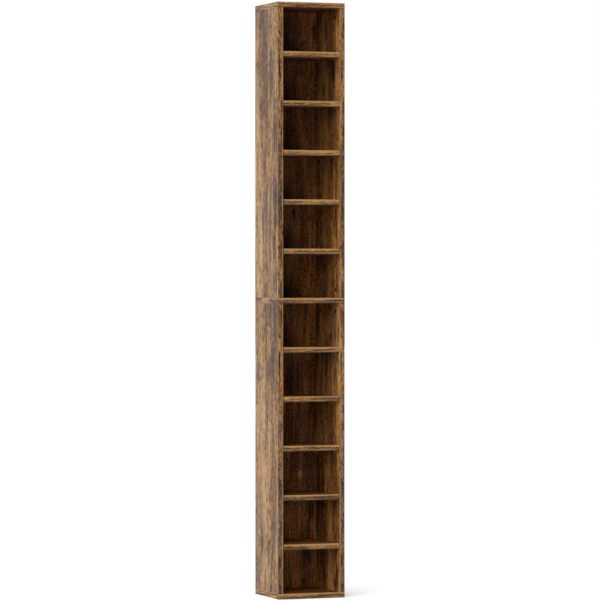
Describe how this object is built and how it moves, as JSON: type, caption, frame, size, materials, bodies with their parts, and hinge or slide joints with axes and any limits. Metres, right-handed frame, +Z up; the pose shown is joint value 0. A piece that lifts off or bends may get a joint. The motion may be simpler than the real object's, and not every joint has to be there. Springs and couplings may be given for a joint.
{
  "type": "cd dvd storage tower",
  "caption": "Tall narrow open storage tower for CD and DVD cases, in wood print board, with loose shelves on pins between its sides and thin back panels in grooves.",
  "frame": {"origin": "on the floor, under the middle of the tower's footprint", "axes": "+Z up along the tower, +X to the right of a person facing the open front, the open front faces -Y"},
  "size_m": [0.21, 0.2, 1.76],
  "materials": {
    "printed_board": "satin paper foil with a rustic brown wood print on chipboard",
    "back_board": "thin hardboard, printed to match on its front face and bare on its rear face",
    "pin_metal": "dark bronze plate"
  },
  "bodies": {
    "carcass": {"top_panel": "printed_board", "middle_panel": "printed_board", "bottom_panel": "printed_board", "lower_left_side": "printed_board", "lower_right_side": "printed_board", "upper_left_side": "printed_board", "upper_right_side": "printed_board", "lower_back_panel": "back_board", "upper_back_panel": "back_board", "pin_01_left_front": "pin_metal", "pin_01_left_rear": "pin_metal", "pin_01_right_front": "pin_metal", "pin_01_right_rear": "pin_metal", "pin_02_left_front": "pin_metal", "pin_02_left_rear": "pin_metal", "pin_02_right_front": "pin_metal", "pin_02_right_rear": "pin_metal", "pin_03_left_front": "pin_metal", "pin_03_left_rear": "pin_metal", "pin_03_right_front": "pin_metal", "pin_03_right_rear": "pin_metal", "pin_04_left_front": "pin_metal", "pin_04_left_rear": "pin_metal", "pin_04_right_front": "pin_metal", "pin_04_right_rear": "pin_metal", "pin_05_left_front": "pin_metal", "pin_05_left_rear": "pin_metal", "pin_05_right_front": "pin_metal", "pin_05_right_rear": "pin_metal", "pin_06_left_front": "pin_metal", "pin_06_left_rear": "pin_metal", "pin_06_right_front": "pin_metal", "pin_06_right_rear": "pin_metal", "pin_07_left_front": "pin_metal", "pin_07_left_rear": "pin_metal", "pin_07_right_front": "pin_metal", "pin_07_right_rear": "pin_metal", "pin_08_left_front": "pin_metal", "pin_08_left_rear": "pin_metal", "pin_08_right_front": "pin_metal", "pin_08_right_rear": "pin_metal", "pin_09_left_front": "pin_metal", "pin_09_left_rear": "pin_metal", "pin_09_right_front": "pin_metal", "pin_09_right_rear": "pin_metal", "pin_10_left_front": "pin_metal", "pin_10_left_rear": "pin_metal", "pin_10_right_front": "pin_metal", "pin_10_right_rear": "pin_metal"},
    "shelf_01": {"shelf_01": "printed_board"},
    "shelf_02": {"shelf_02": "printed_board"},
    "shelf_03": {"shelf_03": "printed_board"},
    "shelf_04": {"shelf_04": "printed_board"},
    "shelf_05": {"shelf_05": "printed_board"},
    "shelf_06": {"shelf_06": "printed_board"},
    "shelf_07": {"shelf_07": "printed_board"},
    "shelf_08": {"shelf_08": "printed_board"},
    "shelf_09": {"shelf_09": "printed_board"},
    "shelf_10": {"shelf_10": "printed_board"}
  },
  "joints": [
    {"name": "shelf_01_slide", "type": "slide", "parent": "carcass", "child": "shelf_01", "axis": [0, -1, 0], "range_m": [0, 0.2]},
    {"name": "shelf_02_slide", "type": "slide", "parent": "carcass", "child": "shelf_02", "axis": [0, -1, 0], "range_m": [0, 0.2]},
    {"name": "shelf_03_slide", "type": "slide", "parent": "carcass", "child": "shelf_03", "axis": [0, -1, 0], "range_m": [0, 0.2]},
    {"name": "shelf_04_slide", "type": "slide", "parent": "carcass", "child": "shelf_04", "axis": [0, -1, 0], "range_m": [0, 0.2]},
    {"name": "shelf_05_slide", "type": "slide", "parent": "carcass", "child": "shelf_05", "axis": [0, -1, 0], "range_m": [0, 0.2]},
    {"name": "shelf_06_slide", "type": "slide", "parent": "carcass", "child": "shelf_06", "axis": [0, -1, 0], "range_m": [0, 0.2]},
    {"name": "shelf_07_slide", "type": "slide", "parent": "carcass", "child": "shelf_07", "axis": [0, -1, 0], "range_m": [0, 0.2]},
    {"name": "shelf_08_slide", "type": "slide", "parent": "carcass", "child": "shelf_08", "axis": [0, -1, 0], "range_m": [0, 0.2]},
    {"name": "shelf_09_slide", "type": "slide", "parent": "carcass", "child": "shelf_09", "axis": [0, -1, 0], "range_m": [0, 0.2]},
    {"name": "shelf_10_slide", "type": "slide", "parent": "carcass", "child": "shelf_10", "axis": [0, -1, 0], "range_m": [0, 0.2]}
  ]
}
